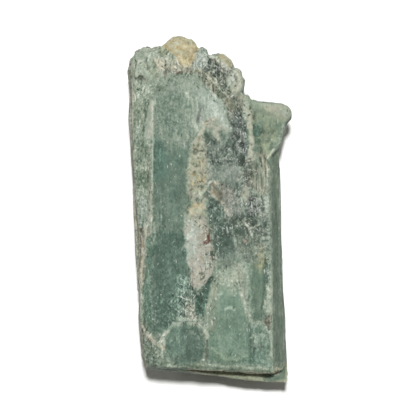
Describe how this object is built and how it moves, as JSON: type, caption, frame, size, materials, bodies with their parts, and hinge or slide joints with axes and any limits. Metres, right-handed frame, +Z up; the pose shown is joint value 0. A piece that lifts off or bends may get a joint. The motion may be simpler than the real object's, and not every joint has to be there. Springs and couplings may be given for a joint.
{
  "type": "raw kyanite",
  "caption": "Rough slab-like green kyanite crystal with layered long sides, a broken crusted end and a flared horn at one shoulder, lying on its broad cleavage face.",
  "frame": {"origin": "middle of the bounding box in plan, on the surface that the crystal rests on", "axes": "+Y along the crystal's length towards its broken crusted end, +X towards the side with the horn, +Z up out of the broad cleavage face"},
  "size_m": [0.0264, 0.0552, 0.0124],
  "materials": {
    "kyanite": "frosted, weakly vitreous cleavage faces with pale crust and dark mica"
  },
  "bodies": {
    "root": {"kyanite_crystal": "kyanite"}
  },
  "joints": []
}
